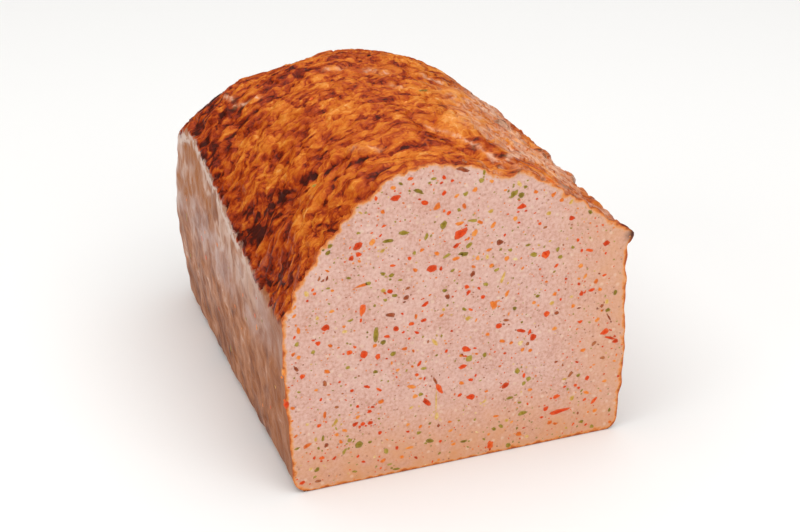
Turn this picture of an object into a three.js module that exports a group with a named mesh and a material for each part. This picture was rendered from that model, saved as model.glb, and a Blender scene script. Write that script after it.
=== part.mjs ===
// A half meatloaf: a loaf of fine sausage meat with diced peppers, baked in a tin until its top
// rose and browned, then cut straight across. Millimetres, +Z up. The flat cut face looks along
// -Y, the rounded end that the tin shaped is at +Y, and the loaf stands on its flat base.
import * as THREE from 'three';

// Driving dimensions, all in millimetres.
const loafLength = 174;          // cut face to the widest line of the end wall
const wallWidth = 118;           // across the walls at their widest
const wallWidest = 46;           // height of that widest line
const wallBulge = 1.3;           // how far each wall stands out of its foot line there
const wallSwell = 2.6;           // how much further the left wall stands out behind the cut
const baseCorner = 5;            // radius along the bottom edges
const crownAtCut = 105.4;        // height of the dome over the base at the cut
const crownRise = 4;             // how much higher the dome is behind the cut
const crownX = -5;               // the top of the dome lies a little left of the middle
const crownShift = 9;            // and this much further right at the rounded end
const leftShoulderAtCut = 61;    // height of the left wall at the cut
const leftShoulderRise = 24;     // the left wall climbs this much towards the rounded end
const rightShoulderAtCut = 73;   // height of the right wall at the cut
const rightShoulderRise = 7;
const leftDomePower = 2.6;       // a steep, round left side to the dome at the cut
const leftDomeEase = -0.6;       // flatter towards the rounded end
const rightDomePower = 1.8;      // a long slope down to the right at the cut
const rightDomeEase = 0.15;      // rounder towards the rounded end
const lipReach = 1.8;            // the crust's edge overhangs the right wall by this much
const lipHeight = 2.6;           // half the height of that overhang
const endCorner = 14;            // plan radius of the rounded end's upright corners, low down
const endCornerTop = 34;         // and at the top of the walls
const endTopRun = 66;            // length over which the dome rounds down to the end wall
const endTopBeyond = 4;          // it would run this far past the wall, so it meets it at an edge
const endTopDrop = 62;           // how far it would come down by then
const endWallLean = 6;           // the end wall's foot lies this far inside its widest line
const endWallWidest = 36;        // height of that widest line

// Folds of the crust: each is a valley (depth above 0) or a ridge (depth under 0) that starts at
// fromX, fromY and runs to toX, toY over the dome, with width as its half breadth.
const folds = [
  { fromX: 17, fromY: -6, toX: 3, toY: 34, width: 4, depth: 2.6 },
  { fromX: 25, fromY: -6, toX: 12, toY: 40, width: 5, depth: -1.8 },
  { fromX: -58, fromY: 44, toX: -14, toY: 12, width: 6, depth: 2.2 },
  { fromX: -50, fromY: 24, toX: -8, toY: 2, width: 8, depth: -1.2 },
  { fromX: -40, fromY: 96, toX: 30, toY: 84, width: 7, depth: 1.0 },
  { fromX: -30, fromY: 132, toX: 24, toY: 126, width: 7, depth: 1.3 },
  { fromX: -47, fromY: 126, toX: -34, toY: 158, width: 9, depth: -2.4 },
];

// How finely the surface is divided.
const lengthSteps = 34;
const endSteps = 12;
const baseSteps = 8;
const cornerSteps = 3;
const wallSteps = 8;
const domeSteps = 44;

const smooth = (t) => {
  const c = Math.min(1, Math.max(0, t));
  return c * c * (3 - 2 * c);
};
const mix = (a, b, t) => a + (b - a) * t;

// How far a rounded edge of the given radius has fallen back at a place along it.
function roundedBack(along, end, radius) {
  const t = Math.min(1, Math.max(0, (along - (end - radius)) / radius));
  return radius * (1 - Math.sqrt(1 - t * t));
}

// How far the walls stand from the middle at y and height z, before the end's corners.
function wallReach(y, z, onLeft) {
  const swell = onLeft ? wallSwell * smooth(y / (0.6 * loafLength)) : 0;
  const off = (z - wallWidest) / wallWidest;
  return wallWidth / 2 + swell - (wallBulge + swell * 0.5) * off * off;
}

// What the end's upright corners take off a wall: they are tight low down and wide at the top.
function cornerCut(y, z) {
  const radius = mix(endCorner, endCornerTop, smooth((z - endWallWidest) / 50));
  return roundedBack(y, loafLength, radius);
}

// Height of the crust over the base at x on the section at y, without its folds. x runs from
// -1 at the left shoulder to 1 at the right one.
function domeHeight(share, y) {
  const along = smooth(y / loafLength);
  const top = (crownX + crownShift * along) / (wallWidth / 2);
  const onLeft = share < top;
  const rise = smooth(y / (0.75 * loafLength));
  const shoulder = onLeft
    ? leftShoulderAtCut + leftShoulderRise * rise
    : rightShoulderAtCut + rightShoulderRise * rise;
  const crown = crownAtCut + crownRise * smooth(y / (0.4 * loafLength));
  const u = Math.min(1, onLeft ? (top - share) / (1 + top) : (share - top) / (1 - top));
  const power = onLeft ? leftDomePower + leftDomeEase * along : rightDomePower + rightDomeEase * along;
  const height = mix(crown, shoulder, u ** power);
  const drop = (endTopDrop / endTopRun) * roundedBack(y, loafLength + endTopBeyond, endTopRun);
  return height - drop * mix(0.45, 1, height / crown);
}

// What the folds take off the height at x, y: nothing far from their lines.
function foldDepth(x, y) {
  let depth = 0;
  for (const fold of folds) {
    const runX = fold.toX - fold.fromX;
    const runY = fold.toY - fold.fromY;
    const along = ((x - fold.fromX) * runX + (y - fold.fromY) * runY) / (runX ** 2 + runY ** 2);
    const t = Math.min(1, Math.max(0, along));
    const away = Math.hypot(x - fold.fromX - t * runX, y - fold.fromY - t * runY);
    depth += fold.depth * Math.exp(-((away / fold.width) ** 2));
  }
  return depth;
}

// A wall from the base's corner up to its shoulder at height top, as [x, z] pairs. side is -1 for
// the left wall and 1 for the right.
function wallPoints(y, side, top) {
  const points = [];
  const foot = wallReach(y, baseCorner, side < 0) - cornerCut(y, baseCorner);
  for (let i = 0; i < cornerSteps; i++) {
    const a = (Math.PI / 2) * (i / cornerSteps);
    points.push([side * (foot - baseCorner * (1 - Math.sin(a))), baseCorner * (1 - Math.cos(a))]);
  }
  for (let i = 0; i < wallSteps; i++) {
    const z = mix(baseCorner, top, Math.sqrt(i / wallSteps));
    const lip = side > 0 ? lipReach * Math.exp(-(((top - z) / lipHeight) ** 2)) : 0;
    points.push([side * (wallReach(y, z, side < 0) - cornerCut(y, z)) + lip, z]);
  }
  return points;
}

// The closed outline of the section at y, anticlockwise from the left end of the base as seen from
// the cut face, as [x, z] pairs.
function sectionOutline(y) {
  const leftTop = domeHeight(-1, y);
  const rightTop = domeHeight(1, y);
  const leftWall = wallPoints(y, -1, leftTop);
  const rightWall = wallPoints(y, 1, rightTop);
  const leftHalf = wallReach(y, leftTop, true) - cornerCut(y, leftTop);
  const rightHalf = wallReach(y, rightTop, false) - cornerCut(y, rightTop);
  const base = [];
  for (let i = 1; i < baseSteps; i++) {
    base.push([mix(leftWall[0][0], rightWall[0][0], i / baseSteps), 0]);
  }
  const dome = [];
  for (let i = 0; i <= domeSteps; i++) {
    const share = Math.cos((Math.PI * i) / domeSteps);
    const half = mix(leftHalf, rightHalf, (share + 1) / 2);
    const x = half * share;
    const lip = lipReach * smooth(1 - (half - x) / lipHeight / 2);
    const nearWall = smooth((1 - Math.abs(share)) / 0.12);
    dome.push([x + lip, domeHeight(share, y) - foldDepth(x, y) * nearWall]);
  }
  return [...base, ...rightWall, ...dome, ...leftWall.reverse()];
}

// The places of the sections along the loaf: even steps, then closer ones round the end.
function stations() {
  const found = [];
  const straight = loafLength - endCornerTop;
  for (let i = 0; i < lengthSteps; i++) found.push((straight * i) / lengthSteps);
  for (let i = 0; i <= endSteps; i++) {
    found.push(straight + endCornerTop * Math.sin((Math.PI / 2) * (i / endSteps)));
  }
  return found;
}

// Moves a point of the rounded end in, so that the end wall leans out from its foot.
function leanedY(y, z) {
  const share = smooth((y / loafLength - 0.5) * 2);
  const below = Math.max(0, 1 - z / endWallWidest);
  return y - endWallLean * share * below ** 1.5;
}

function loafGeometry() {
  const positions = [];
  const faces = [];
  const sections = stations().map((y) => sectionOutline(y).map(([x, z]) => [x, leanedY(y, z), z]));
  const around = sections[0].length;
  for (const section of sections) {
    for (const point of section) positions.push(...point);
  }
  for (let s = 0; s + 1 < sections.length; s++) {
    for (let i = 0; i < around; i++) {
      const a = s * around + i;
      const b = s * around + ((i + 1) % around);
      faces.push(a, b + around, b, a, a + around, b + around);
    }
  }
  const flatten = (section) => section.map(([x, , z]) => new THREE.Vector2(x, z));
  const last = (sections.length - 1) * around;
  for (const [a, b, c] of THREE.ShapeUtils.triangulateShape(flatten(sections[0]), [])) {
    faces.push(a, b, c);
  }
  for (const [a, b, c] of THREE.ShapeUtils.triangulateShape(flatten(sections.at(-1)), [])) {
    faces.push(last + a, last + c, last + b);
  }
  const geometry = new THREE.BufferGeometry();
  geometry.setAttribute('position', new THREE.Float32BufferAttribute(positions, 3));
  geometry.setIndex(faces);
  geometry.computeVertexNormals();
  return geometry;
}

const meatMaterial = new THREE.MeshStandardMaterial({ color: 0xdfb49f, roughness: 0.55, metalness: 0 });

// The origin is in the middle of the base.
const geometry = loafGeometry();
geometry.computeBoundingBox();
const middle = geometry.boundingBox.getCenter(new THREE.Vector3());
geometry.translate(-middle.x, -middle.y, -geometry.boundingBox.min.z);

const loaf = new THREE.Mesh(geometry, meatMaterial);
loaf.name = 'meatloaf';

const part = new THREE.Group();
part.add(loaf);

export default part;
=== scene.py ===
import math
import random

import bmesh
import bpy
from mathutils import Matrix, Vector, noise
from mathutils.bvhtree import BVHTree
from mathutils.kdtree import KDTree


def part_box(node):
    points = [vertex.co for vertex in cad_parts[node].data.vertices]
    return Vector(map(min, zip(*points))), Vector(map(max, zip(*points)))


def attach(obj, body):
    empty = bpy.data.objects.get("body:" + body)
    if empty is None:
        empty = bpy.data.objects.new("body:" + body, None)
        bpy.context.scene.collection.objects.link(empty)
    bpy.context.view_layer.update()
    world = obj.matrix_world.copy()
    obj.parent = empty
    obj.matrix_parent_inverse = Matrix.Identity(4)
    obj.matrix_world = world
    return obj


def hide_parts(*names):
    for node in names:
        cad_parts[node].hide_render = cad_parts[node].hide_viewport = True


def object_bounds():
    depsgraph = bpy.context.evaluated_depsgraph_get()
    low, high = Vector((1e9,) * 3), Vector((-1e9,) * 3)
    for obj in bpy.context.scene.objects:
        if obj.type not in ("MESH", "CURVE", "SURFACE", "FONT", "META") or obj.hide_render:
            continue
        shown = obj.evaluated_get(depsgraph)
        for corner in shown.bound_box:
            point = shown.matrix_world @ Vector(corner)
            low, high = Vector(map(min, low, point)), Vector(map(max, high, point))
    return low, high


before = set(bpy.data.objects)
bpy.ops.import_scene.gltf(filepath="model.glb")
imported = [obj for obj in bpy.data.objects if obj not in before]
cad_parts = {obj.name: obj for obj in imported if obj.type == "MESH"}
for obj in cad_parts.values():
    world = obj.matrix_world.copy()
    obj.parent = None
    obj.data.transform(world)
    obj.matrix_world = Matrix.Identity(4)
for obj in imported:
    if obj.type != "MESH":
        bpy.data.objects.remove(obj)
cadLow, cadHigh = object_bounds()
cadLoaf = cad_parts["meatloaf"]
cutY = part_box("meatloaf")[0].y
mm = 0.001
print("frame loaded")


def linear(hexColour):
    channels = [int(hexColour[i:i + 2], 16) / 255 for i in (1, 3, 5)]
    return [c / 12.92 if c <= 0.04045 else ((c + 0.055) / 1.055) ** 2.4 for c in channels] + [1]


# Adds a node; an input given as a socket is linked and any other value is set.
def addNode(tree, kind, settings=None, inputs=None):
    node = tree.nodes.new(kind)
    for name, value in (settings or {}).items():
        if name == "stops":
            while len(node.color_ramp.elements) < len(value):
                node.color_ramp.elements.new(1)
            for element, (position, colour) in zip(node.color_ramp.elements, value):
                element.position = position
                element.color = linear(colour)
        else:
            setattr(node, name, value)
    for name, value in (inputs or {}).items():
        if isinstance(value, bpy.types.NodeSocket):
            tree.links.new(value, node.inputs[name])
        else:
            node.inputs[name].default_value = value
    return node


def newMaterial(name):
    material = bpy.data.materials.new(name)
    material.use_nodes = True
    material.node_tree.nodes.clear()
    return material, material.node_tree


loafShape = {
    "grid": 0.94,    # between points of the baked surface
    "cutGrid": 1.5,  # between points of the cut
    "allowance": 4.0,                       # baked beyond the cut, then sliced off
    "crustLean": 0.2,                       # a surface whose normal rises more than this is crust
    "lump": 1.0,                            # heights of the crust's swellings, wrinkles and flakes
    "wrinkle": 0.6,
    "flake": 0.5,
    "flakeLong": 9.0,                       # a flake's size over the dome and along the loaf
    "flakeWide": 5.0,
    "charHollow": 0.8,
    "wallWave": 0.5,                        # unevenness of the sides that the tin shaped
    "wallWaveRight": 1.3,
    "wallGrain": 0.12,
}

# Strokes of char over the crust, seen from above: ends in x and y, half breadth and strength, which
# is under 0 where the crust stayed golden.
charStrokes = [
    (-62, -33, -46, -47, 5.5, 0.95), (-48, -46, -30, -57, 2.0, 0.8), (-28, -62, -8, -67, 1.4, 0.6),
    (-9, -67, -5, -70, 1.8, 0.8), (-34, -70, -33, -76, 2.0, 0.8), (-32, -60, -34, -70, 1.0, 0.5),
    (-57, -66, -50, -80, 3.5, 0.6), (-43, -80, -38, -85, 3.0, 0.5), (-29, -4, -25, -10, 2.2, 0.6),
    (-27, -18, -20, -22, 2.4, 0.55), (-16, -14, -15, -23, 2.0, 0.7), (-14, -40, -11, -44, 1.8, 0.75),
    (-60, -30, -58, 70, 4.0, 0.3), (-54, 10, -46, 80, 9.0, 0.52), (-60, -80, -58, -40, 4.0, 0.2), (-30, 60, -4, 66, 12.0, 0.2),
    (-26, 26, -6, 36, 16.0, 0.24), (-50, 40, -42, 80, 9.0, 0.24),
    (16, -76, 20, -84, 2.2, 0.85), (27, -50, 34, -57, 1.8, 0.7), (0, 3, 0, -4, 1.2, 0.6),
    (12, 1, 26, 5, 1.2, 0.75), (17, 12, 19, 15, 2.6, 0.7), (44, 56, 46, 62, 2.4, 0.7),
    (33, 60, 36, 64, 2.4, 0.6), (6, -26, 12, -27, 1.2, 0.5), (-34, -46, -32, -48, 1.8, 0.5),
    (-2, -45, 2, -52, 1.4, 0.4), (-45, -8, -40, -12, 1.4, 0.4), (-42, -27, -36, -31, 1.2, 0.45),
    (-30, 10, -27, 8, 1.6, 0.5), (-12, 20, -9, 17, 1.4, 0.4), (-28, 31, -36, 33, 2.2, 0.4),
    (45, -22, 40, -26, 1.6, 0.5), (60, -88, 62, -80, 2.2, 0.9), (59, -44, 61, -36, 2.2, 0.9),
    (57, -26, 61, -18, 2.4, 0.8), (40, 8, 41, 12, 1.6, 0.8), (47, 16, 49, 20, 1.6, 0.8),
    (41, -23, 42, -19, 1.8, 0.8),
    (-28, -76, -4, -76, 7.0, -0.2), (-4, -72, 12, -80, 6.0, -0.25), (-22, -34, -18, -16, 11.0, -0.06),
    (-4, -20, 0, 4, 8.0, -0.08), (14, -50, 18, 0, 9.0, -0.5), (28, -84, 36, -66, 5.0, -0.2),
    (-40, -68, -34, -62, 5.0, -0.15), (0, 60, 20, 66, 8.0, -0.15), (-20, 14, -14, 12, 5.0, -0.15),
]
# Pale, dried fat, with painted highlights along wrinkle tops and a broad painted sheen over the right of the dome.
paleStrokes = [
    (3, -50, 10, -60, 0.8, 0.5), (10, -60, 16, -74, 0.8, 0.6), (16, -74, 17, -80, 1.2, 0.6),
    (10, -84, 14, -88, 2.4, 0.5), (-44, 26, -36, 18, 0.9, 0.6), (-46, 38, -43, 30, 1.0, 0.6),
    (-38, 72, -26, 78, 0.9, 0.6), (-26, 78, -22, 70, 0.8, 0.5), (2, 7, 8, 3, 2.4, 0.6),
    (4, -14, 5, -18, 1.8, 0.5), (-6, 12, -12, 14, 1.4, 0.5), (-25, -56, -17, -64, 1.0, 0.4),
    (22, 6, 34, 2, 1.2, 0.6), (24, 78, 34, 70, 1.2, 0.5), (44, -66, 60, -30, 8.0, 0.85),
    (44, -10, 56, 44, 9.0, 0.9), (30, -60, 46, -20, 7.0, 0.65), (22, -50, 30, -10, 8.0, 0.5), (24, -84, 50, -80, 5.0, 0.5),
    (20, -78, 26, -68, 1.0, 0.7), (26, -68, 44, -52, 2.0, 0.5), (50, -86, 60, -70, 3.0, 0.5),
    (-54, 64, -50, 80, 1.6, 0.5),
]
# Humps and hollows of the crust: x, y, radius and height.
humps = [
    (60, -86, 2.6, 0.7), (59.5, -40, 3.2, 1.8), (58.5, -22, 3.0, 1.5), (40, 10, 2.2, 1.6),
    (48, 18, 2.4, 1.6), (41.5, -21, 2.4, 1.6), (18, -81, 2.6, -1.2), (31, -53, 2.4, -0.6),
    (7, -56, 3.2, 0.7), (14, -68, 3.0, 0.9), (52, -60, 3.0, 0.6), (56, -8, 3.2, 0.8),
    (-50, 62, 6.0, 1.6), (-45, 74, 5.0, 1.4), (-38, 66, 4.0, -1.0), (-30, 72, 6.0, 1.5), (-57, 44, 5.0, 1.0),
    (-16, 70, 5.0, 1.2), (-23, 66, 3.0, -0.8),
]
# Char that the knife cut through, as x and z on the cut.
cutCharStrokes = [(60.5, 72, 62.5, 75, 1.8, 1.0), (15.5, 101, 20, 100.6, 1.0, 0.9)]
# Strokes over the left wall: ends in y and z, half breadth and strength.
wallOchreStrokes = [
    (4, 66, 20, 69, 2.8, 0.9), (20, 72, 30, 66, 4.0, 1.0), (24, 79, 48, 74, 4.5, 1.0),
    (40, 60, 60, 54, 5.0, 1.0), (1, 60, 7, 57, 2.0, 0.9), (1, 64, 5, 62, 1.2, 0.6),
    (34, 65, 37, 61, 1.4, 0.7), (38, 52, 46, 49, 1.8, 0.5), (-10, 61, -5, 62, 1.2, 0.5),
    (-12, 59, -9, 57, 1.0, 0.4), (62, 56, 76, 48, 3.0, 0.7), (78, 50, 83, 40, 3.0, 0.6),
    (48, 74, 54, 64, 2.0, 0.6), (66, 38, 70, 33, 1.6, 0.5), (50, 30, 62, 26, 2.0, 0.4),
    (-78, 57, -73, 56, 1.2, 0.5),
]
wallBrownStrokes = [
    (30, 76, 44, 71, 3.0, 0.8), (-24, 71, -22, 69, 1.2, 0.8), (-30, 66, -28, 64, 1.0, 0.8),
    (-19, 73, -19, 70, 1.0, 0.8), (2, 58, 6, 55, 1.2, 0.6), (32, 64, 36, 60, 1.6, 0.6),
    (14, 44, 18, 42, 1.4, 0.5), (30, 41, 35, 40, 1.2, 0.5), (-25, 43, -23, 41, 1.4, 0.5),
    (-70, 27, -68, 25, 1.4, 0.5), (-82, 59, -74, 52, 3.0, 0.8), (-70, 50, -64, 47, 1.8, 0.5),
    (-1, 29, 1, 26, 1.8, 0.3), (25, 68, 27, 64, 1.2, 0.6), (-46, 42, -44, 39, 1.4, 0.4),
]


def strokeShare(a, b, strokes):
    share = 0
    for fromA, fromB, toA, toB, width, strength in strokes:
        runA, runB = toA - fromA, toB - fromB
        along = ((a - fromA) * runA + (b - fromB) * runB) / (runA ** 2 + runB ** 2)
        along = min(1, max(0, along))
        far = ((a - fromA - along * runA) ** 2 + (b - fromB - along * runB) ** 2) / width ** 2
        if far < 6:
            share += strength * math.exp(-far)
    return min(1, share)


# The crust's relief at a point in millimetres: swellings and wrinkles, which are about -1 to 1, and
# flakes, which run from 0 at their edges to 1. They lie over the dome from side to side.
def crustRelief(p):
    q = p + noise.noise_vector(p / 24) * 7 + noise.noise_vector(p / 5) * 1.6
    lump = noise.noise(q / 14)
    ridge = noise.fractal(Vector((q.x / 15, q.y / 5.5, q.z / 15)), 0.8, 2.1, 3)
    wrinkle = min(1, abs(ridge) * 3.2) * 2 - 1
    long, wide = loafShape["flakeLong"], loafShape["flakeWide"]
    near = noise.voronoi(Vector((q.x / long, q.y / wide, q.z / long)))[0]
    return lump, wrinkle, min(1, (near[1] - near[0]) * 2.4)


def bakedBody():
    body = bmesh.new()
    body.from_mesh(cadLoaf.data)
    bmesh.ops.remove_doubles(body, verts=body.verts, dist=1e-6)
    cut = [f for f in body.faces if all(abs(v.co.y - cutY) < 1e-6 for v in f.verts)]
    grown = bmesh.ops.extrude_face_region(body, geom=cut)["geom"]
    ends = [g for g in grown if isinstance(g, bmesh.types.BMVert)]
    bmesh.ops.translate(body, verts=ends, vec=(0, -loafShape["allowance"] * mm, 0))
    left = [f for f in body.faces if all(abs(v.co.y - cutY) < 1e-6 for v in f.verts)]
    if left:
        bmesh.ops.delete(body, geom=left, context="FACES_ONLY")
    rough = bpy.data.meshes.new("roughLoaf")
    body.to_mesh(rough)
    body.free()
    holder = bpy.data.objects.new("roughLoaf", rough)
    bpy.context.scene.collection.objects.link(holder)
    remesh = holder.modifiers.new("evenGrid", "REMESH")
    remesh.mode = "VOXEL"
    remesh.voxel_size = loafShape["grid"] * mm
    even = bpy.data.meshes.new_from_object(holder.evaluated_get(bpy.context.evaluated_depsgraph_get()))
    bpy.data.objects.remove(holder)
    smooth = bmesh.new()
    smooth.from_mesh(even)
    for _ in range(2):
        bmesh.ops.smooth_vert(smooth, verts=smooth.verts, factor=0.5,
                              use_axis_x=True, use_axis_y=True, use_axis_z=True)
    return smooth


def giveRelief(bm):
    bm.normal_update()
    names = ("shoulder", "relief", "flake", "char", "pale", "ochre")
    layers = {name: bm.verts.layers.float.new(name) for name in names}
    isCrust = {}
    for v in bm.verts:
        isCrust[v] = v.normal.z > loafShape["crustLean"] and v.co.z > 30 * mm
    edges = [e for e in bm.edges if isCrust[e.verts[0]] != isCrust[e.verts[1]]]
    tree = KDTree(len(edges))
    for i, e in enumerate(edges):
        tree.insert((e.verts[0].co + e.verts[1].co) / 2, i)
    tree.balance()
    moves = []
    for v in bm.verts:
        p = v.co / mm
        away = tree.find(v.co)[2] / mm
        away = away if isCrust[v] else -away
        lump, wrinkle, flake = crustRelief(p)
        onCrust = min(1, max(0, 0.35 + away / 5))
        if isCrust[v]:
            v[layers["char"]] = strokeShare(p.x, p.y, charStrokes)
            v[layers["pale"]] = strokeShare(p.x, p.y, paleStrokes)
        elif p.x < 0:
            v[layers["char"]] = strokeShare(p.y, p.z, wallBrownStrokes)
            v[layers["ochre"]] = strokeShare(p.y, p.z, wallOchreStrokes)
        height = onCrust * (loafShape["lump"] * lump + loafShape["wrinkle"] * wrinkle
                            + loafShape["flake"] * (flake - 0.5) - loafShape["charHollow"] * v[layers["char"]])
        wave = loafShape["wallWaveRight"] if p.x > 0 else loafShape["wallWave"]
        height += (1 - onCrust) * wave * noise.noise(Vector((p.x / 5, p.y / 5, p.z / 6)) + Vector((3, 1, 7)))
        height += (1 - onCrust) * loafShape["wallGrain"] * noise.noise(Vector((p.x / 3, p.y / 3, p.z / 5)))
        for x, y, radius, rise in humps:
            if isCrust[v] or abs(away) < 4:
                height += rise * math.exp(-((p.x - x) ** 2 + (p.y - y) ** 2) / radius ** 2)
        height *= min(1, max(0, p.z / 3))
        v[layers["shoulder"]] = away
        v[layers["relief"]] = 0.5 * lump + 0.5 * wrinkle
        v[layers["flake"]] = flake
        moves.append((v, v.normal * height * mm))
    for v, move in moves:
        v.co += move


# Slices the end off and lays an even grid over the cut, so that its rim can be coloured.
def sliceLoaf(bm):
    result = bmesh.ops.bisect_plane(bm, geom=bm.verts[:] + bm.edges[:] + bm.faces[:], dist=1e-7,
                                    plane_co=(0, cutY, 0), plane_no=(0, -1, 0), clear_outer=True)
    rim = [g for g in result["geom_cut"] if isinstance(g, bmesh.types.BMEdge)]
    faces = bmesh.ops.holes_fill(bm, edges=rim, sides=0)["faces"]
    for face in faces:
        face.material_index = 1
        face.normal_update()
    if faces[0].normal.y > 0:
        bmesh.ops.reverse_faces(bm, faces=faces)
    low, high = cadLow / mm, cadHigh / mm
    step = loafShape["cutGrid"]
    for axis, start, end in ((0, low.x, high.x), (2, low.z, high.z)):
        normal = Vector((axis == 0, 0, axis == 2))
        for i in range(1, int((end - start) / step) + 1):
            geom = set()
            for face in faces:
                geom.add(face)
                geom.update(face.edges)
                geom.update(face.verts)
            place = normal * (start + i * step) * mm
            result = bmesh.ops.bisect_plane(bm, geom=list(geom), dist=1e-7, plane_co=place, plane_no=normal)
            faces = [g for g in result["geom"]
                     if isinstance(g, bmesh.types.BMFace) and g.material_index == 1]
    return faces


def flattenBase(bm):
    bm.normal_update()
    base = [v for v in bm.verts if v.co.z < 0.5 * mm and v.normal.z < -0.9]
    for v in base:
        v.co.z = 0
    inside = set(base)
    edges = [e for e in bm.edges if e.verts[0] in inside and e.verts[1] in inside]
    bmesh.ops.dissolve_limit(bm, angle_limit=math.radians(0.5), verts=base, edges=edges)


def measureCut(bm, stains):
    rimLayer = bm.verts.layers.float.new("rim")
    stainLayer = bm.verts.layers.float.new("stain")
    onCut = {v for f in bm.faces if f.material_index == 1 for v in f.verts}
    outline = [v for v in onCut if any(f.material_index == 0 for f in v.link_faces)]
    tree = KDTree(len(outline))
    for i, v in enumerate(outline):
        tree.insert(v.co, i)
    tree.balance()
    charLayer = bm.verts.layers.float["char"]
    for v in onCut:
        v[rimLayer] = tree.find(v.co)[2] / mm
        v[charLayer] = strokeShare(v.co.x / mm, v.co.z / mm, cutCharStrokes)
    return tree


loafBody = bakedBody()
print("loaf gridded:", len(loafBody.verts))
giveRelief(loafBody)
print("crust wrinkled")
sliceLoaf(loafBody)
flattenBase(loafBody)
rimTree = measureCut(loafBody, [])
bmesh.ops.recalc_face_normals(loafBody, faces=loafBody.faces)
loafMesh = bpy.data.meshes.new("loaf")
loafBody.to_mesh(loafMesh)
for polygon in loafMesh.polygons:
    polygon.use_smooth = polygon.material_index == 0
print("loaf cut:", len(loafMesh.polygons), "faces")
loaf = bpy.data.objects.new("loaf", loafMesh)
bpy.context.scene.collection.objects.link(loaf)
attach(loaf, "root")
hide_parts("meatloaf")

# Baked sausage meat: the browned crust is a dried skin of meat juice, golden where it is thin and nearly black where
# juice ran together; the side that the tin kept pale has streaks of white fat, partly painted sheen, and the crust has
# pale strokes of fat and painted highlight.
skinLook = {
    "crustStops": [(0.0, "#42140A"), (0.13, "#681D0A"), (0.26, "#8E2C0A"), (0.39, "#AC4411"),
                   (0.52, "#C4621A"), (0.66, "#D67B28"), (0.8, "#E3964C"), (0.94, "#F0B888")],
    "wallStops": [(0.0, "#66300F"), (0.28, "#915127"), (0.48, "#A8683D"), (0.66, "#B97D5A"), (0.92, "#E2C8BA")],
    "flakeLong": 4.4,           # mm that a flake runs over the dome
    "flakeWide": 3.0,           # mm along the loaf
    "streakLong": 6.0,
    "streakWide": 1.3,
    "blotch": 15.0,
    "sheenAndThinFat": "#F0A868",
    "sheenAndPaleFat": "#E7B596",
    "sheenAndFilm": "#D6BCAE",
    "ochre": "#A25A10",
    "brown": "#8A4A22",
    "lilacSheen": "#BA9D96",
    "front": "#99582E",
}


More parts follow.
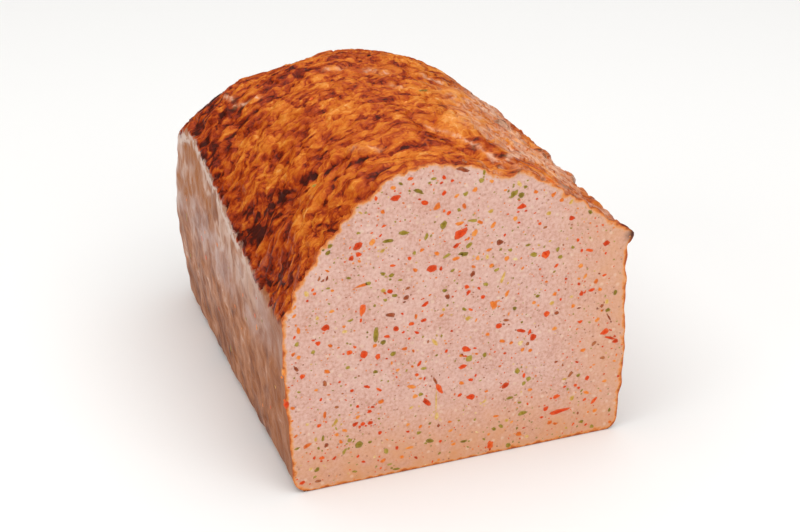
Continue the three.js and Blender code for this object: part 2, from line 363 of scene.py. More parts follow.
def makeSkin():
    material, tree = newMaterial("browned meat crust")
    look = skinLook
    place = addNode(tree, "ShaderNodeTexCoord").outputs["Object"]
    place = addNode(tree, "ShaderNodeVectorMath", {"operation": "SCALE"}, {0: place, "Scale": 1000}).outputs[0]
    split = addNode(tree, "ShaderNodeSeparateXYZ", {}, {0: place})
    layer = {name: addNode(tree, "ShaderNodeAttribute", {"attribute_name": name}).outputs["Fac"]
             for name in ("shoulder", "relief", "flake", "char", "pale", "ochre")}
    drift = addNode(tree, "ShaderNodeTexNoise", {}, {"Vector": place, "Scale": 1 / 20, "Detail": 3}).outputs["Color"]
    drift = addNode(tree, "ShaderNodeVectorMath", {"operation": "SUBTRACT"}, {0: drift, 1: (0.5, 0.5, 0.5)}).outputs[0]
    drift = addNode(tree, "ShaderNodeVectorMath", {"operation": "SCALE"}, {0: drift, "Scale": 24}).outputs[0]
    moved = addNode(tree, "ShaderNodeVectorMath", {"operation": "ADD"}, {0: place, 1: drift}).outputs[0]

    def noiseAt(vector, scale, detail=3, roughness=0.6):
        return addNode(tree, "ShaderNodeTexNoise", {}, {
            "Vector": vector, "Scale": scale, "Detail": detail, "Roughness": roughness}).outputs[0]

    def ranged(value, low, high, toLow=0, toHigh=1, kind="LINEAR"):
        return addNode(tree, "ShaderNodeMapRange", {"interpolation_type": kind}, {
            "Value": value, "From Min": low, "From Max": high, "To Min": toLow, "To Max": toHigh}).outputs[0]

    def combine(operation, a, b, c=0.5):
        return addNode(tree, "ShaderNodeMath", {"operation": operation}, {0: a, 1: b, 2: c}).outputs[0]

    def mixed(share, a, b):
        return addNode(tree, "ShaderNodeMix", {"data_type": "RGBA"}, {0: share, 6: a, 7: b}).outputs[2]

    wobble = addNode(tree, "ShaderNodeTexNoise", {}, {"Vector": place, "Scale": 1 / 5, "Detail": 1}).outputs["Color"]
    wobble = addNode(tree, "ShaderNodeVectorMath", {"operation": "MULTIPLY_ADD"}, {
        0: wobble, 1: (2.6, 2.6, 2.6), 2: moved}).outputs[0]
    flakeSpace = addNode(tree, "ShaderNodeMapping", {}, {"Vector": wobble, "Scale": (
        1 / look["flakeLong"], 1 / look["flakeWide"], 1 / look["flakeLong"])}).outputs[0]
    streakSpace = addNode(tree, "ShaderNodeMapping", {}, {"Vector": moved, "Scale": (
        1 / look["streakLong"], 1 / look["streakWide"], 1 / look["streakLong"])}).outputs[0]
    flakeEdge = addNode(tree, "ShaderNodeTexVoronoi", {"feature": "DISTANCE_TO_EDGE"}, {
        "Vector": flakeSpace, "Scale": 1}).outputs["Distance"]
    flakeColour = addNode(tree, "ShaderNodeTexVoronoi", {}, {"Vector": flakeSpace, "Scale": 1}).outputs["Color"]
    flakeTone = addNode(tree, "ShaderNodeSeparateColor", {}, {0: flakeColour}).outputs[0]
    streak = noiseAt(streakSpace, 1, 4, 0.55)
    blotch = noiseAt(moved, 1 / look["blotch"], 3, 0.55)
    patch = noiseAt(flakeSpace, 0.8, 3, 0.5)
    speck = noiseAt(place, 1 / 1.1)
    # Tone of the crust: 0 is charred and 1 is pale gold.
    tone = combine("MULTIPLY_ADD", patch, 0.75, 0.11)
    tone = combine("ADD", tone, ranged(streak, 0.3, 0.7, -0.07, 0.07))
    tone = combine("MULTIPLY_ADD", layer["relief"], 0.08, tone)
    tone = combine("ADD", tone, ranged(blotch, 0.3, 0.7, -0.12, 0.12))
    tone = combine("ADD", tone, ranged(speck, 0.3, 0.7, -0.06, 0.06))
    tone = combine("MULTIPLY_ADD", flakeTone, 0.16, combine("SUBTRACT", tone, 0.08))
    broken = ranged(patch, 0.38, 0.54, 1, 0.12)
    for value, low, high, depth in ((flakeEdge, 0.0, 0.12, 0.2), (layer["flake"], 0.05, 0.4, 0.14)):
        outline = combine("MULTIPLY", ranged(value, low, high, depth, 0), broken)
        tone = combine("SUBTRACT", tone, outline)
    # Hair cracks: dark lines, painted shade of hollows, and pale lines, painted highlight on wrinkle tops.
    for scale, depth in ((0.45, -0.12), (0.6, 0.12), (0.85, -0.08)):
        paintedCrackLines = combine("ABSOLUTE", combine("SUBTRACT", noiseAt(flakeSpace, scale, 1), 0.5), 0)
        paintedCrackLines = combine("MULTIPLY", ranged(paintedCrackLines, 0.0, 0.025, depth, 0), ranged(blotch, 0.4, 0.55, 0.3, 1))
        tone = combine("ADD", tone, paintedCrackLines)
    # Crumbs that caught: small dark spots, here and there.
    caught = addNode(tree, "ShaderNodeTexVoronoi", {}, {"Vector": flakeSpace, "Scale": 0.62})
    spot = combine("MULTIPLY", ranged(caught.outputs["Distance"], 0.1, 0.34, 0.22, 0),
                   combine("GREATER_THAN", addNode(tree, "ShaderNodeSeparateColor", {}, {
                       0: caught.outputs["Color"]}).outputs[1], 0.62))
    tone = combine("SUBTRACT", tone, spot)
    tone = combine("SUBTRACT", tone, ranged(layer["shoulder"], 0, 14, 0.1, 0, "SMOOTHSTEP"))
    charred = combine("MULTIPLY", layer["char"], ranged(patch, 0.35, 0.62, 0.46, 0.16))
    tone = combine("SUBTRACT", tone, charred)
    crust = addNode(tree, "ShaderNodeValToRGB", {"stops": look["crustStops"]}, {"Fac": tone}).outputs[0]
    lengthSpace = addNode(tree, "ShaderNodeMapping", {}, {"Vector": wobble, "Scale": (1 / 2.2, 1 / 7, 1 / 2.2)}).outputs[0]
    lengthwise = noiseAt(lengthSpace, 1, 4, 0.6)
    # Pale strokes: dried fat, partly painted highlight and painted sheen.
    paleShare = combine("MULTIPLY", layer["pale"], ranged(lengthwise, 0.36, 0.62, 0.1, 1.25))
    paleShare = combine("MINIMUM", paleShare, 1.0)
    sheenAndFatColour = mixed(ranged(paleShare, 0.1, 0.5), linear(look["sheenAndThinFat"]), linear(look["sheenAndPaleFat"]))
    crust = mixed(paleShare, crust, sheenAndFatColour)
    # The wall that the tin shaped: upright streaks in grey, beige and tan.
    upright = addNode(tree, "ShaderNodeMapping", {}, {
        "Vector": wobble, "Scale": (1 / 9, 1 / 9, 1 / 12)}).outputs[0]
    wallStreak = noiseAt(upright, 1, 3, 0.45)
    cloudSpace = addNode(tree, "ShaderNodeMapping", {}, {
        "Vector": wobble, "Scale": (1 / 14, 1 / 14, 1 / 12)}).outputs[0]
    wallCloud = noiseAt(cloudSpace, 1, 4, 0.6)
    wallTone = combine("MULTIPLY_ADD", wallStreak, 1.4, -0.25)
    wallTone = combine("ADD", wallTone, ranged(wallCloud, 0.35, 0.65, -0.2, 0.2))
    wallTone = combine("ADD", wallTone, ranged(speck, 0.3, 0.7, -0.06, 0.06))
    wallTone = combine("ADD", wallTone, ranged(split.outputs["Z"], 5, 60, -0.1, 0.06))
    wall = addNode(tree, "ShaderNodeValToRGB", {"stops": look["wallStops"]}, {"Fac": wallTone}).outputs[0]
    # A painted grey-lilac sheen in a band across the upper wall.
    upperSheenBand = combine("MULTIPLY", ranged(split.outputs["Z"], 36, 48, 0, 1, "SMOOTHSTEP"),
                   ranged(split.outputs["Z"], 56, 66, 1, 0, "SMOOTHSTEP"))
    wall = mixed(combine("MULTIPLY", upperSheenBand, ranged(wallCloud, 0.42, 0.58, 0.1, 0.65)), wall, linear(look["lilacSheen"]))
    wall = mixed(combine("MULTIPLY", layer["char"], ranged(wallStreak, 0.3, 0.6, 0.5, 1)), wall, linear(look["brown"]))
    ragged = noiseAt(wobble, 1 / 5, 4, 0.55)
    wall = mixed(combine("MULTIPLY", layer["ochre"], ranged(ragged, 0.44, 0.56, 1.5, 0.7)), wall,
                 linear(look["ochre"]))
    # Dried white film with painted sheen: nearly whole along the crust's edge and in patches under it.
    sheenAndFilmPatch = combine("MULTIPLY", ranged(layer["shoulder"], -22, -9, 0, 0.5, "SMOOTHSTEP"),
                        ranged(wallStreak, 0.46, 0.53, 0.1, 1))
    sheenAndFilmBand = combine("MULTIPLY", ranged(layer["shoulder"], -5.5, -3, 0, 0.9, "SMOOTHSTEP"),
                       ranged(ragged, 0.42, 0.5, 0.15, 1))
    sheenAndFilmPatch = combine("MULTIPLY", sheenAndFilmPatch, ranged(layer["ochre"], 0.1, 0.5, 1, 0.1))
    sheenAndFilm = combine("MULTIPLY", combine("MAXIMUM", sheenAndFilmPatch, sheenAndFilmBand), ranged(split.outputs["Y"], -70, -40, 0.15, 1))
    wall = mixed(sheenAndFilm, wall, linear(look["sheenAndFilm"]))
    front = ranged(split.outputs["Y"], -50, -86, 0, 0.6, "SMOOTHSTEP")
    wall = mixed(front, wall, linear(look["front"]))
    # The crust's ragged edge along the shoulder.
    edge = combine("ADD", layer["shoulder"], ranged(ragged, 0.3, 0.7, -2.2, 2.2))
    colour = mixed(ranged(edge, -0.6, 0.6), wall, crust)
    gloss = ranged(blotch, 0.3, 0.7, 0.3, 0.5)
    height = combine("MULTIPLY_ADD", speck, 0.35, combine("MULTIPLY_ADD", flakeEdge, 1.0, patch))
    bump = addNode(tree, "ShaderNodeBump", {}, {"Height": height, "Strength": 0.5, "Distance": 0.5 * mm}).outputs[0]
    shader = addNode(tree, "ShaderNodeBsdfPrincipled", {}, {
        "Base Color": colour, "Roughness": gloss, "Normal": bump, "IOR": 1.42,
        "Specular IOR Level": 0.1}).outputs[0]
    addNode(tree, "ShaderNodeOutputMaterial", {}, {"Surface": shader})
    return material


# Fine cooked sausage meat, sliced with a knife: a moist, nearly matt pink-beige paste with paler fat,
# small pores, and a thin orange rim where the crust or the tin browned it.
meatLook = {
    "meatStops": [(0.0, "#C48C78"), (0.3, "#D29D8A"), (0.5, "#DFB1A1"), (0.68, "#E6BEB0"), (1.0, "#F1D3C6")],
    "warm": "#DE9A64",
    "rimStops": [(0.0, "#B4521A"), (0.3, "#E08136"), (0.6, "#E7A269"), (1.0, "#E6B392")],
    "charred": "#4A1C0E",
    "pore": "#A9694A",
    "fat": "#F0D8BE",
    "grain": 1.1,               # mm
    "cloud": 8.0,
    "rimWide": 1.7,
}


def makeMeat():
    material, tree = newMaterial("fine sausage meat")
    look = meatLook
    place = addNode(tree, "ShaderNodeTexCoord").outputs["Object"]
    place = addNode(tree, "ShaderNodeVectorMath", {"operation": "SCALE"}, {0: place, "Scale": 1000}).outputs[0]
    split = addNode(tree, "ShaderNodeSeparateXYZ", {}, {0: place})
    grain = addNode(tree, "ShaderNodeTexNoise", {}, {
        "Vector": place, "Scale": 1 / look["grain"], "Detail": 3, "Roughness": 0.6}).outputs[0]
    cloud = addNode(tree, "ShaderNodeTexNoise", {}, {
        "Vector": place, "Scale": 1 / look["cloud"], "Detail": 3, "Roughness": 0.55}).outputs[0]
    tone = addNode(tree, "ShaderNodeMath", {"operation": "MULTIPLY_ADD"}, {0: cloud, 1: 0.45, 2: grain}).outputs[0]
    tone = addNode(tree, "ShaderNodeMath", {"operation": "MULTIPLY_ADD"}, {0: tone, 1: 1.2, 2: -0.36}).outputs[0]
    colour = addNode(tree, "ShaderNodeValToRGB", {"stops": look["meatStops"]}, {"Fac": tone}).outputs[0]
    # Warmer towards the base and the right wall, where the tin was hottest.
    low = addNode(tree, "ShaderNodeMapRange", {"interpolation_type": "SMOOTHSTEP"}, {
        "Value": split.outputs["Z"], "From Min": 32, "From Max": 0, "To Min": 0, "To Max": 0.65}).outputs[0]
    right = addNode(tree, "ShaderNodeMapRange", {"interpolation_type": "SMOOTHSTEP"}, {
        "Value": split.outputs["X"], "From Min": 24, "From Max": 60, "To Min": 0, "To Max": 0.5}).outputs[0]
    warmth = addNode(tree, "ShaderNodeMath", {"operation": "MAXIMUM"}, {0: low, 1: right}).outputs[0]
    warmth = addNode(tree, "ShaderNodeMath", {"operation": "MULTIPLY"}, {0: warmth, 1: cloud}).outputs[0]
    warmth = addNode(tree, "ShaderNodeMath", {"operation": "MULTIPLY"}, {0: warmth, 1: 2.0}).outputs[0]
    colour = addNode(tree, "ShaderNodeMix", {"data_type": "RGBA"}, {
        0: warmth, 6: colour, 7: linear(look["warm"])}).outputs[2]
    pores = addNode(tree, "ShaderNodeTexVoronoi", {}, {"Vector": place, "Scale": 1 / 2.4})
    poreDot = addNode(tree, "ShaderNodeMapRange", {}, {
        "Value": pores.outputs["Distance"], "From Min": 0.16, "From Max": 0.08}).outputs[0]
    rare = addNode(tree, "ShaderNodeSeparateColor", {}, {0: pores.outputs["Color"]})
    picked = addNode(tree, "ShaderNodeMath", {"operation": "GREATER_THAN"}, {0: rare.outputs[0], 1: 0.5}).outputs[0]
    poreDot = addNode(tree, "ShaderNodeMath", {"operation": "MULTIPLY"}, {0: poreDot, 1: picked}).outputs[0]
    poreShare = addNode(tree, "ShaderNodeMath", {"operation": "MULTIPLY"}, {0: poreDot, 1: 0.6}).outputs[0]
    colour = addNode(tree, "ShaderNodeMix", {"data_type": "RGBA"}, {
        0: poreShare, 6: colour, 7: linear(look["pore"])}).outputs[2]
    fat = addNode(tree, "ShaderNodeTexVoronoi", {}, {"Vector": place, "Scale": 1 / 3.4, "Randomness": 1})
    fatDot = addNode(tree, "ShaderNodeMapRange", {}, {
        "Value": fat.outputs["Distance"], "From Min": 0.24, "From Max": 0.12, "To Max": 0.4}).outputs[0]
    colour = addNode(tree, "ShaderNodeMix", {"data_type": "RGBA"}, {
        0: fatDot, 6: colour, 7: linear(look["fat"])}).outputs[2]
    stain = addNode(tree, "ShaderNodeAttribute", {"attribute_name": "stain"}).outputs["Fac"]
    colour = addNode(tree, "ShaderNodeMix", {"data_type": "RGBA"}, {
        0: stain, 6: colour, 7: linear("#E09A6C")}).outputs[2]
    rim = addNode(tree, "ShaderNodeAttribute", {"attribute_name": "rim"}).outputs["Fac"]
    uneven = addNode(tree, "ShaderNodeTexNoise", {}, {"Vector": place, "Scale": 1 / 3, "Detail": 3}).outputs[0]
    uneven = addNode(tree, "ShaderNodeMath", {"operation": "MULTIPLY_ADD"}, {0: uneven, 1: -4, 2: 2.1}).outputs[0]
    depth = addNode(tree, "ShaderNodeMath", {"operation": "ADD"}, {0: rim, 1: uneven}).outputs[0]
    depth = addNode(tree, "ShaderNodeMapRange", {}, {
        "Value": depth, "From Min": 0, "From Max": look["rimWide"]}).outputs[0]
    rimColour = addNode(tree, "ShaderNodeValToRGB", {"stops": look["rimStops"]}, {"Fac": depth}).outputs[0]
    inside = addNode(tree, "ShaderNodeMapRange", {"interpolation_type": "SMOOTHSTEP"}, {
        "Value": depth, "From Min": 0.45, "From Max": 1}).outputs[0]
    colour = addNode(tree, "ShaderNodeMix", {"data_type": "RGBA"}, {0: inside, 6: rimColour, 7: colour}).outputs[2]
    char = addNode(tree, "ShaderNodeAttribute", {"attribute_name": "char"}).outputs["Fac"]
    colour = addNode(tree, "ShaderNodeMix", {"data_type": "RGBA"}, {
        0: char, 6: colour, 7: linear(look["charred"])}).outputs[2]
    height = addNode(tree, "ShaderNodeMath", {"operation": "SUBTRACT"}, {0: grain, 1: poreDot}).outputs[0]
    bump = addNode(tree, "ShaderNodeBump", {}, {"Height": height, "Strength": 0.5, "Distance": 0.35 * mm}).outputs[0]
    gloss = addNode(tree, "ShaderNodeMapRange", {}, {
        "Value": grain, "From Min": 0.3, "From Max": 0.7, "To Min": 0.42, "To Max": 0.62}).outputs[0]
    shader = addNode(tree, "ShaderNodeBsdfPrincipled", {}, {
        "Base Color": colour, "Roughness": gloss, "Normal": bump, "IOR": 1.4,
        "Subsurface Weight": 0.12, "Subsurface Radius": (1, 0.45, 0.3), "Subsurface Scale": 1.2 * mm}).outputs[0]
    addNode(tree, "ShaderNodeOutputMaterial", {}, {"Surface": shader})
    return material


loafMesh.materials.append(makeSkin())
loafMesh.materials.append(makeMeat())

# Cooked pepper: soft dice and strips, sliced through with the meat, so flat and moist where cut.
bitKinds = {
    "redPepper": {"slot": "red_pepper", "dark": "#B02A0A", "main": "#E23A08", "light": "#F0702C", "edge": "#E08556"},
    "orangePepper": {"slot": "orange_pepper", "dark": "#CC4E12", "main": "#EB7820", "light": "#F2A24E",
                     "edge": "#E6A674"},
    "yellowPepper": {"slot": "yellow_pepper", "dark": "#B88E34", "main": "#DBA948", "light": "#EFD9A6",
                     "edge": "#E6C092"},
    "greenPepper": {"slot": "green_pepper", "dark": "#66500F", "main": "#978022", "light": "#BCA24A",
                    "edge": "#BDA268"},
    "darkBit": {"slot": "dark_bits", "dark": "#641A08", "main": "#A2461E", "light": "#C07848", "edge": "#C08C72"},
}

# The larger bits of the cut: x and z of the middle, length, breadth and turn in degrees, in mm.
largeBits = {
    "redPepper": [
        (0.5, 82.3, 5.0, 2.4, 22), (30, 70.5, 3.2, 2.8, 20), (-32.2, 61.8, 3.6, 2.0, 80),
        (-33, 83.5, 3.0, 2.3, 25), (-32.8, 80.8, 2.0, 1.5, 0), (-44.3, 57.8, 2.7, 2.5, 0),
        (36.5, 11, 7.2, 1.4, 4), (31.3, 13, 2.0, 1.7, 30), (52.2, 38.3, 3.2, 2.2, 20),
        (54.2, 35.6, 4.2, 1.0, -24), (56.4, 34, 2.4, 1.6, -10), (-7, 28.4, 4.4, 1.7, -68),
        (2.5, 41.4, 3.2, 1.8, -20), (1, 35.2, 2.7, 1.4, 4), (26, 41.3, 2.5, 2.4, 50),
        (21.8, 44.4, 3.0, 1.4, -18), (13.8, 47.6, 2.1, 1.9, 0), (-32.3, 46, 2.7, 2.6, 30),
        (-37, 47.8, 2.1, 1.7, 0), (-9, 72, 3.0, 2.0, 5), (-20.5, 97.5, 2.8, 1.7, 5),
        (-11, 94.5, 2.5, 1.5, -15), (21.3, 88.3, 2.7, 1.5, 10), (51.5, 70.8, 2.3, 2.1, 0),
        (-11.5, 60, 2.6, 1.3, 30), (4, 23.3, 3.0, 1.9, -8), (16.3, 25, 2.7, 2.0, 5),
        (-11.6, 24.6, 3.2, 1.9, -48), (-33.4, 21, 1.6, 1.3, 0), (-31, 21, 1.8, 1.3, 10),
        (-1, 78.5, 2.3, 1.4, 42), (46.4, 21.8, 2.0, 1.4, 80), (49.3, 12.5, 2.8, 1.4, 40),
        (11, 3.4, 2.8, 2.2, 70), (-58.2, 33.5, 2.4, 1.6, 85), (35, 17, 2.8, 1.4, 12),
        (-23, 66.5, 1.9, 1.4, 0), (-47, 53, 1.6, 1.4, 0), (43, 54, 1.8, 1.5, 60),
        (-47.6, 11.5, 1.6, 1.4, 0), (45.5, 69.2, 2.4, 1.0, -12), (-15.5, 103, 1.8, 1.2, 10),
        (-31, 25.2, 1.7, 1.2, 20), (-31.6, 34.4, 2.0, 1.1, -30), (-52.6, 42.3, 1.5, 1.9, 0),
    ],
    "orangePepper": [
        (-7, 92.5, 3.0, 1.8, 45), (-28.4, 84, 2.5, 1.7, 50), (12, 55.8, 2.9, 2.9, 0),
        (5.5, 81.8, 2.6, 1.6, 60), (0.3, 85.8, 2.7, 1.2, 0), (-1, 74, 2.7, 1.3, 4),
        (-16.5, 31.2, 2.9, 1.6, -18), (-52.4, 17, 3.0, 1.5, 22), (-17.6, 8.6, 2.6, 1.1, 0),
        (-32, 70.2, 3.5, 1.1, 8), (16.5, 58.8, 2.5, 1.1, 60), (21.3, 5.3, 2.1, 1.8, 0),
        (13, 14, 2.0, 1.0, 0), (11, 98.3, 1.6, 1.2, 0), (-27, 28, 2.0, 1.6, 0),
        (33.5, 55.7, 1.5, 1.4, 0), (42.5, 64.2, 1.7, 1.3, 0), (-2.3, 6.5, 1.8, 1.3, 0),
        (-44.6, 42.6, 2.2, 1.3, -30), (7.2, 85.2, 2.0, 1.3, -20), (-18.6, 45.6, 2.2, 1.2, 0),
        (-35, 24, 1.7, 1.1, 30), (11.6, 83.4, 2.4, 1.2, 50), (31, 95.6, 4.4, 1.1, -38),
        (-58.4, 45, 2.6, 1.1, 88), (-53, 58.5, 2.4, 1.2, 80), (-46, 27, 2.6, 1.0, 80),
    ],
    "yellowPepper": [
        (-8, 18.5, 2.8, 1.4, 80), (15, 64.5, 4.2, 1.1, 70), (3, 52.4, 1.8, 1.6, 0),
        (-8.4, 46, 2.8, 1.1, -50), (-42.4, 23.8, 2.4, 1.1, 60), (20.4, 96, 2.2, 1.2, -60),
        (-8.2, 24, 8.0, 0.45, 88), (-25, 80.8, 1.8, 0.9, 20), (8.8, 20.6, 1.8, 0.8, 30),
    ],
    "greenPepper": [
        (-28, 52.6, 5.0, 1.8, 86), (-23, 83.7, 3.1, 1.5, 0), (-17.8, 85.6, 3.3, 1.4, -12),
        (-13, 98.6, 3.8, 1.4, -34), (-5, 86.4, 2.8, 2.0, 50), (4.6, 86.1, 3.0, 1.1, 0),
        (3.5, 77.9, 2.7, 1.5, 30), (1.5, 75.1, 3.0, 1.7, 0), (-4, 75.5, 2.6, 1.1, 28),
        (25.8, 71, 2.3, 1.9, 0), (18.5, 93, 2.9, 1.9, 50), (21, 92.2, 2.2, 1.8, 0),
        (-25.2, 73, 2.2, 1.1, -15), (-22.4, 72, 1.8, 1.3, 0), (-22.6, 44.6, 2.4, 1.5, 40),
        (3.4, 37.6, 2.2, 2.1, 20), (-35, 13.7, 2.9, 2.4, 40), (-38, 16, 1.7, 1.3, 0),
        (22.4, 13.2, 3.5, 1.4, 4), (20.6, 29.6, 2.3, 1.8, 70), (-10.5, 9.7, 2.6, 1.6, -14),
        (1.4, 6.8, 2.4, 1.1, 0), (18, 20, 2.0, 1.1, 0), (27.4, 56, 1.7, 1.2, 0),
        (-22.6, 1.5, 2.4, 0.9, 0), (-10.7, 83.2, 2.2, 1.3, 70), (-4.8, 63.6, 1.6, 1.2, 0),
        (12.9, 67.8, 1.9, 1.2, 20), (-42.4, 83, 1.8, 1.4, 20), (8.9, 38, 1.8, 1.1, 80),
        (-28.6, 39.2, 1.5, 1.3, 0), (-47, 18.6, 2.2, 1.0, 80), (-40, 12.2, 2.0, 1.2, 60),
        (-8, 101.9, 1.8, 0.9, 0), (8.5, 101.6, 2.0, 1.0, 80), (-30, 70.6, 1.8, 1.2, 0),
    ],
    "darkBit": [
        (1.6, 103.4, 4.0, 1.4, -20), (14, 77.2, 2.3, 1.8, 0), (-8.5, 32, 3.0, 0.9, -66),
        (-23.2, 58.4, 2.8, 1.5, -18), (-17.7, 63.5, 2.0, 1.5, 20), (40, 24.6, 2.6, 1.2, 48),
        (-46, 15.8, 1.9, 1.4, 80), (-49.4, 3.0, 2.0, 1.0, 0), (16.4, 49.2, 2.2, 0.9, -10),
        (50.8, 48.2, 1.5, 1.2, 80), (-54.4, 45.4, 2.4, 1.0, -60), (34.4, 48.6, 1.6, 1.3, 0),
        (-45.6, 74.8, 1.8, 0.8, 70), (-43, 74.6, 1.6, 0.7, 70), (53.6, 43.4, 2.2, 0.8, -60),
    ],
}
smallBits = {
    "seed": 11,
    "onWalls": 90,              # bits pressed flat against the tin
    "tiny": 900,                # specks of 0.4 to 0.9 mm
    "small": 320,               # bits of 0.9 to 2 mm
    "crumbs": (0, 1, 1, 2, 3),  # how many crumbs lie round a larger bit
    "proud": 0.07,              # mm that a sliced bit stands out of the cut
    "shares": {"redPepper": 0.27, "orangePepper": 0.27, "yellowPepper": 0.1, "greenPepper": 0.28, "darkBit": 0.08},
}


# Bits that show through the crust: kind, x, y, length, breadth and turn.
crustBits = [
    ("greenPepper", 12, -22, 3.6, 1.8, 20), ("greenPepper", 43, 72, 3.4, 2.0, 0), ("redPepper", 32, -73, 3.6, 1.6, 60),
    ("redPepper", -24, -8, 2.0, 1.2, 0), ("greenPepper", -38, -58, 1.8, 1.2, 30), ("orangePepper", 3, -31, 2.2, 1.4, 0),
]


# One bit: a jittered ball, stretched and turned in the plane square to facing, and sliced flat a
# little way out of it.
def addBit(bm, layers, centre, facing, length, breadth, turn, rounds, draw):
    along = facing.orthogonal() if abs(facing.z) > 0.9 else Vector((0, 0, 1)).cross(-facing)
    along.normalize()
    up = facing.cross(along)
    ball = bmesh.ops.create_icosphere(bm, subdivisions=rounds, radius=1)["verts"]
    tint = draw.uniform(-1, 1)
    faded = 0.2 if length < 0.9 else 0
    seed = Vector((draw.uniform(0, 99), draw.uniform(0, 99), draw.uniform(0, 99)))
    cosTurn, sinTurn = math.cos(math.radians(turn)), math.sin(math.radians(turn))
    thick = min(length, breadth) * 0.5 + 0.1
    for v in ball:
        share = math.hypot(v.co.x, v.co.y)
        p = v.co * (1 + 0.55 * noise.noise(v.co * 1.1 + seed) + 0.3 * noise.noise(v.co * 2.7 + seed))
        x, y = p.x * length * 0.56, p.y * breadth * 0.56
        out = min(smallBits["proud"], p.z * thick - 0.15 * thick)
        flat = along * (x * cosTurn - y * sinTurn) + up * (x * sinTurn + y * cosTurn)
        v.co = centre + (flat + facing * out) * mm
        v[layers["tint"]] = tint
        v[layers["fade"]] = faded + 0.5 * share ** 2.5


def scatterBits():
    draw = random.Random(smallBits["seed"])
    meshes = {kind: bmesh.new() for kind in bitKinds}
    layers = {kind: {name: bm.verts.layers.float.new(name) for name in ("tint", "fade")}
              for kind, bm in meshes.items()}
    facing = Vector((0, -1, 0))
    placed = []
    for kind, rows in largeBits.items():
        for x, z, length, breadth, turn in rows:
            centre = Vector((x * mm, cutY, z * mm))
            addBit(meshes[kind], layers[kind], centre, facing, length, breadth, turn, 2, draw)
            placed.append((x, z, length / 2, kind))
            for _ in range(draw.choice(smallBits["crumbs"])):
                away = draw.uniform(0, 2 * math.pi)
                reach = length / 2 + draw.uniform(0.3, 1.1)
                crumb = centre + Vector((math.cos(away), 0, math.sin(away))) * reach * mm
                size = draw.uniform(0.5, 1.1)
                addBit(meshes[kind], layers[kind], crumb, facing, size, size * 0.7, turn, 1, draw)
    surface = BVHTree.FromBMesh(loafBody)
    kinds, shares = zip(*smallBits["shares"].items())
    for count, low, high, rounds in ((smallBits["small"], 0.9, 2.0, 2), (smallBits["tiny"], 0.4, 0.9, 1)):
        left = count
        while left > 0:
            x = draw.uniform(cadLow.x, cadHigh.x)
            z = draw.uniform(cadLow.z, cadHigh.z)
            length = draw.uniform(low, high)
            breadth = length * draw.uniform(0.45, 0.9)
            turn = draw.gauss(18, 40)
            kind = draw.choices(kinds, shares)[0]
            hit, normal, _, _ = surface.ray_cast(Vector((x, cutY - 0.02, z)), Vector((0, 1, 0)))
            if hit is None or abs(hit.y - cutY) > 1e-5:
                continue
            if rimTree.find(Vector((x, cutY, z)))[2] / mm < length / 2 + 0.4:
                continue
            if any(math.hypot(x / mm - px, z / mm - pz) < length / 2 + reach + 0.3 for px, pz, reach, _ in placed):
                continue
            addBit(meshes[kind], layers[kind], Vector((x, cutY, z)), facing, length, breadth, turn, rounds, draw)
            placed.append((x / mm, z / mm, length / 2, kind))
            left -= 1
    for kind, x, y, length, breadth, turn in crustBits:
        hit, normal, _, _ = surface.ray_cast(Vector((x * mm, y * mm, 0.3)), Vector((0, 0, -1)))
        addBit(meshes[kind], layers[kind], hit, normal, length, breadth, turn, 2, draw)
    for _ in range(smallBits["onWalls"]):
        side = draw.choice((Vector((1, 0, 0)), Vector((-1, 0, 0)), Vector((0, -1, 0))))
        along = draw.uniform(cadLow.y, cadHigh.y) if side.y == 0 else draw.uniform(cadLow.x, cadHigh.x)
        origin = -side * 0.3 + Vector((0, along, 0) if side.y == 0 else (along, 0, 0))
        origin.z = draw.uniform(3, 58) * mm
        kind = draw.choices(kinds, shares)[0]
        length = draw.uniform(0.8, 2.4)
        hit, normal, _, _ = surface.ray_cast(origin, side)
        if hit is not None:
            addBit(meshes[kind], layers[kind], hit, normal, length, length * 0.6, draw.gauss(90, 30), 1, draw)
    return meshes, placed


def makeBitMaterial(kind, look):
    material, tree = newMaterial(kind)
    place = addNode(tree, "ShaderNodeTexCoord").outputs["Object"]
    place = addNode(tree, "ShaderNodeVectorMath", {"operation": "SCALE"}, {0: place, "Scale": 1000}).outputs[0]
    mottle = addNode(tree, "ShaderNodeTexNoise", {}, {"Vector": place, "Scale": 1 / 0.9, "Detail": 3}).outputs[0]
    tint = addNode(tree, "ShaderNodeAttribute", {"attribute_name": "tint"}).outputs["Fac"]
    tone = addNode(tree, "ShaderNodeMath", {"operation": "MULTIPLY_ADD"}, {0: tint, 1: 0.22, 2: mottle}).outputs[0]
    colour = addNode(tree, "ShaderNodeValToRGB", {
        "stops": [(0.15, look["dark"]), (0.5, look["main"]), (0.85, look["light"])]}, {"Fac": tone}).outputs[0]
    fade = addNode(tree, "ShaderNodeAttribute", {"attribute_name": "fade"}).outputs["Fac"]
    colour = addNode(tree, "ShaderNodeMix", {"data_type": "RGBA"}, {
        0: fade, 6: colour, 7: linear(look["edge"])}).outputs[2]
    bump = addNode(tree, "ShaderNodeBump", {}, {"Height": mottle, "Strength": 0.4, "Distance": 0.2 * mm}).outputs[0]
    shader = addNode(tree, "ShaderNodeBsdfPrincipled", {}, {
        "Base Color": colour, "Roughness": 0.4, "Normal": bump, "IOR": 1.38, "Specular IOR Level": 0.14}).outputs[0]
    addNode(tree, "ShaderNodeOutputMaterial", {}, {"Surface": shader})
    return material


bitMeshes, placedBits = scatterBits()
for kind, bm in bitMeshes.items():
    bmesh.ops.recalc_face_normals(bm, faces=bm.faces)
    mesh = bpy.data.meshes.new(kind)
    bm.to_mesh(mesh)
    bm.free()
    mesh.materials.append(makeBitMaterial(kind, bitKinds[kind]))
    bits = bpy.data.objects.new(kind, mesh)
    bpy.context.scene.collection.objects.link(bits)
    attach(bits, "root")
print("bits placed:", len(placedBits))

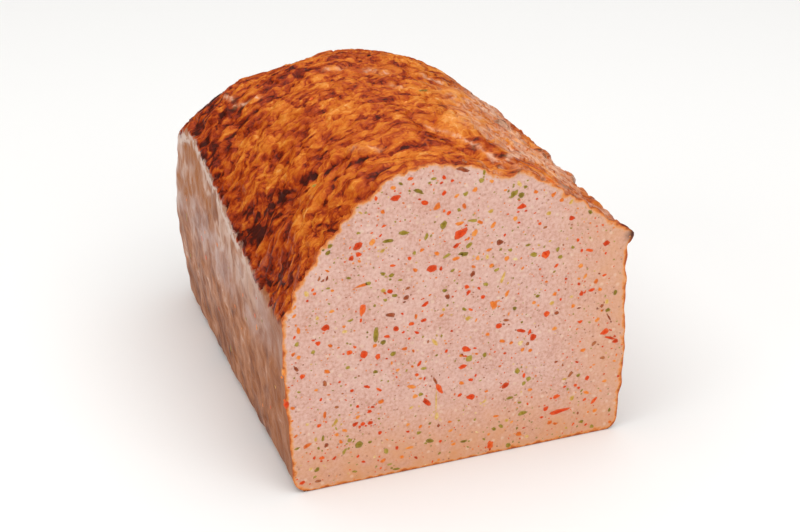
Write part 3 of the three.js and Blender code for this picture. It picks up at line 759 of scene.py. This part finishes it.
studio = {
    "floor": "#F2F1EF",
    "world": 0.1,
    "softboxes": [  # place, what it faces, breadth, height, watts
        ((0, 0.3, 1.6), (0, 0.3, 0), 3.2, 3.2, 50),
        ((0.35, -1.0, 0.75), (0, -0.08, 0.05), 0.9, 0.9, 5.6),
        ((-1.0, -0.2, 0.5), (0, 0, 0.06), 0.8, 0.5, 3),
    ],
    "camera": (-0.1475, -0.4673, 0.2577),
    "turn": -18.6,
    "tilt": 24.52,
    "roll": -1.36,
    "lens": 64.1,
}
floorMesh = bmesh.new()
bmesh.ops.create_grid(floorMesh, x_segments=1, y_segments=1, size=3)
bmesh.ops.translate(floorMesh, verts=floorMesh.verts, vec=(0, 0, -0.2 * mm))
floorData = bpy.data.meshes.new("floor")
floorMesh.to_mesh(floorData)
floorMesh.free()
floor = bpy.data.objects.new("floor", floorData)
bpy.context.scene.collection.objects.link(floor)
floorMaterial, floorTree = newMaterial("matt paper sweep")
floorShader = addNode(floorTree, "ShaderNodeBsdfPrincipled", {}, {
    "Base Color": linear(studio["floor"]), "Roughness": 0.9}).outputs[0]
addNode(floorTree, "ShaderNodeOutputMaterial", {}, {"Surface": floorShader})
floorData.materials.append(floorMaterial)

world = bpy.data.worlds.new("studio")
world.use_nodes = True
world.node_tree.nodes["Background"].inputs["Color"].default_value = (1, 1, 1, 1)
world.node_tree.nodes["Background"].inputs["Strength"].default_value = studio["world"]
bpy.context.scene.world = world
for i, (place, target, breadth, height, watts) in enumerate(studio["softboxes"]):
    light = bpy.data.lights.new(f"softbox{i}", "AREA")
    light.shape = "RECTANGLE"
    light.size, light.size_y, light.energy = breadth, height, watts
    lamp = bpy.data.objects.new(f"softbox{i}", light)
    lamp.location = place
    lamp.rotation_euler = (Vector(place) - Vector(target)).to_track_quat("Z", "Y").to_euler()
    bpy.context.scene.collection.objects.link(lamp)

camera = bpy.data.cameras.new("camera")
camera.lens = studio["lens"]
camera.clip_start = 0.01
cameraObject = bpy.data.objects.new("camera", camera)
turned = Matrix.Rotation(math.radians(studio["turn"]), 4, "Z")
tilted = Matrix.Rotation(math.radians(90 - studio["tilt"]), 4, "X")
rolled = Matrix.Rotation(math.radians(studio["roll"]), 4, "Z")
cameraObject.matrix_world = Matrix.Translation(studio["camera"]) @ turned @ tilted @ rolled
bpy.context.scene.collection.objects.link(cameraObject)
bpy.context.scene.camera = cameraObject
bpy.context.scene.view_settings.view_transform = "Standard"
print("studio set")
